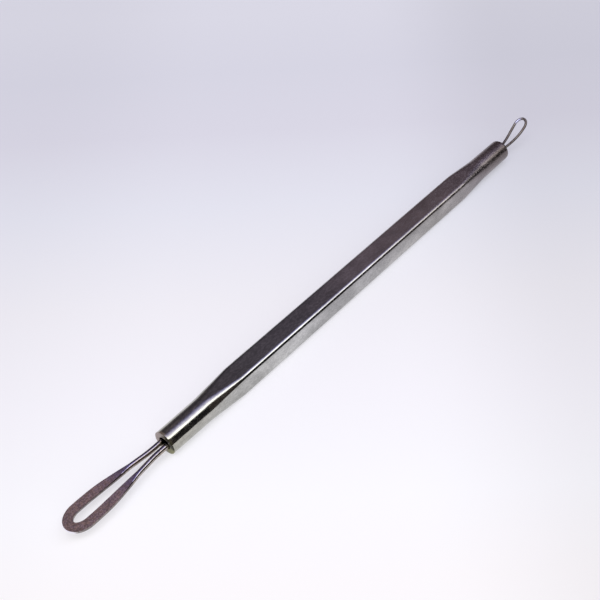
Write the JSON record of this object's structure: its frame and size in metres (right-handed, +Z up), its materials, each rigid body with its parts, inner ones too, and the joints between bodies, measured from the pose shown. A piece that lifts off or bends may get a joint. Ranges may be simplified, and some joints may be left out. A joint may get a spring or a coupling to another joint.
{
  "type": "blackhead extractor",
  "caption": "Double-ended comedone extractor: a square steel handle with round ends, a large flattened wire loop at one end and a small loop of fine wire, bent up, at the other.",
  "frame": {"origin": "middle of the handle's flat underside, halfway between its two end faces, where the tool rests", "axes": "+X along the handle towards the large loop, +Z up out of the flat that the tool rests on, +Y by the right-hand rule; the small loop is at -X and is bent up towards +Z"},
  "size_m": [0.1165, 0.0048, 0.005],
  "materials": {
    "handle_steel": "polished, with fine mottling and drawing marks",
    "wire_steel": "polished drawn wire, pressed flat round the large loop",
    "solder": "dull soft solder, hidden in the bores"
  },
  "bodies": {
    "root": {"handle": "handle_steel", "large_loop": "wire_steel", "small_loop": "wire_steel", "large_loop_solder": "solder", "small_loop_solder": "solder"}
  },
  "joints": []
}
